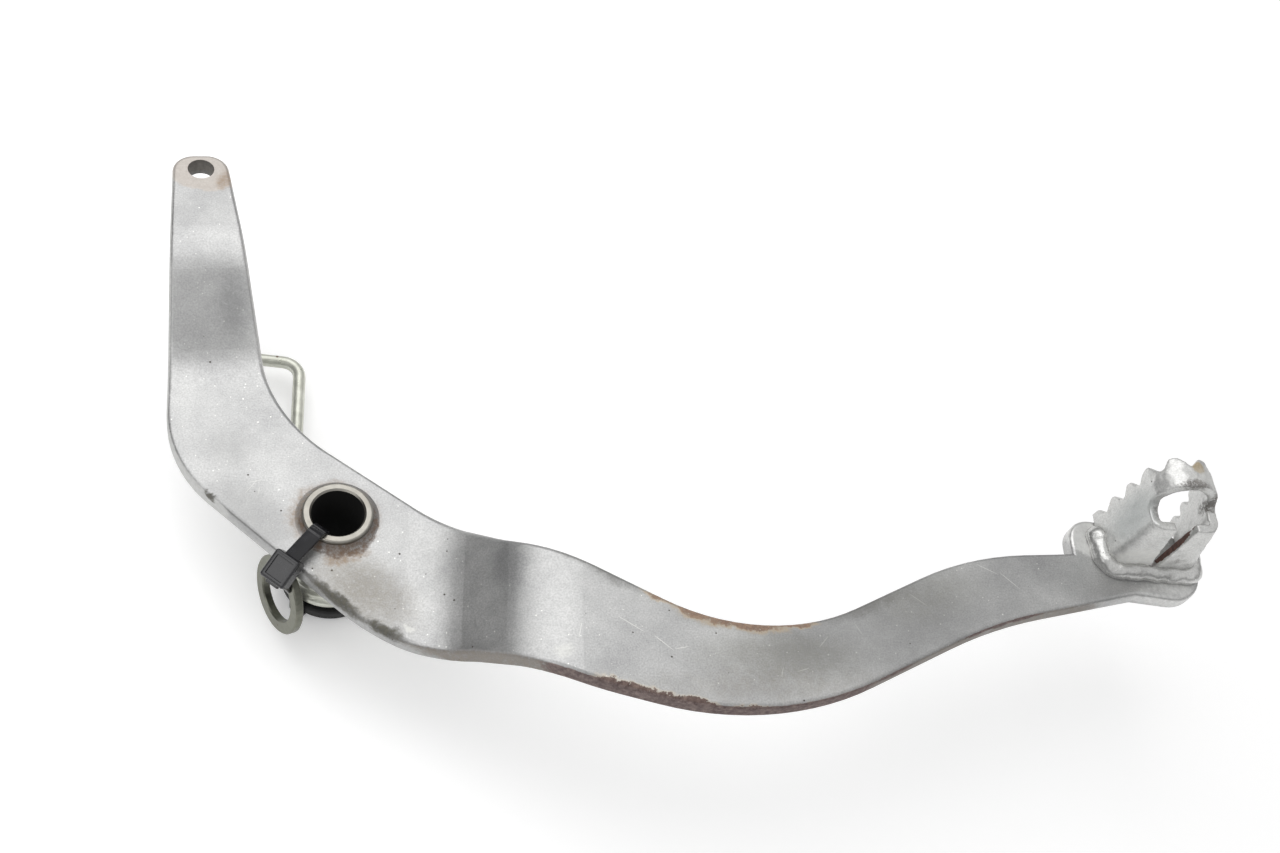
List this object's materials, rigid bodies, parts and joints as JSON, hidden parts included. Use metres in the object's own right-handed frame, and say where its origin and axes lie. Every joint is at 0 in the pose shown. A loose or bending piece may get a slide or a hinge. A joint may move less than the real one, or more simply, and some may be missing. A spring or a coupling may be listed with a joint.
{
  "type": "motorcycle rear brake pedal",
  "caption": "Stamped steel brake lever with a joggled S-shaped arm, serrated foot tread, upright rod arm, pivot tube and coil return spring; pressing the tread pulls the brake rod.",
  "frame": {"origin": "on the pivot bore's axis, at the outer face of the lever plate", "axes": "+Z along the pivot axis to the outer side, where the foot is; +X to the foot tread; +Y to the rod arm's tip, which stands up on the vehicle"},
  "size_m": [0.3244, 0.1781, 0.0896],
  "materials": {
    "silver_paint": "silver metallic paint, worn, with rust freckles on the edges",
    "bare_steel": "bare steel, lightly rusted",
    "zinc_steel": "dull greenish zinc plating",
    "black_rubber": "matt black rubber"
  },
  "bodies": {
    "pedal": {"pedal_arm": "silver_paint", "pivot_tube": "bare_steel", "pivot_weld": "silver_paint", "toe_tread": "silver_paint", "tread_weld": "silver_paint", "dust_seal": "black_rubber", "thrust_washer": "zinc_steel"},
    "spring": {"return_spring": "zinc_steel"}
  },
  "joints": [
    {"name": "spring_wind", "type": "hinge", "parent": "pedal", "child": "spring", "pos_m": [0, 0, 0], "axis": [0, 0, 1], "range_deg": [0, 12], "stiffness_Nm_per_rad": 6.5}
  ]
}
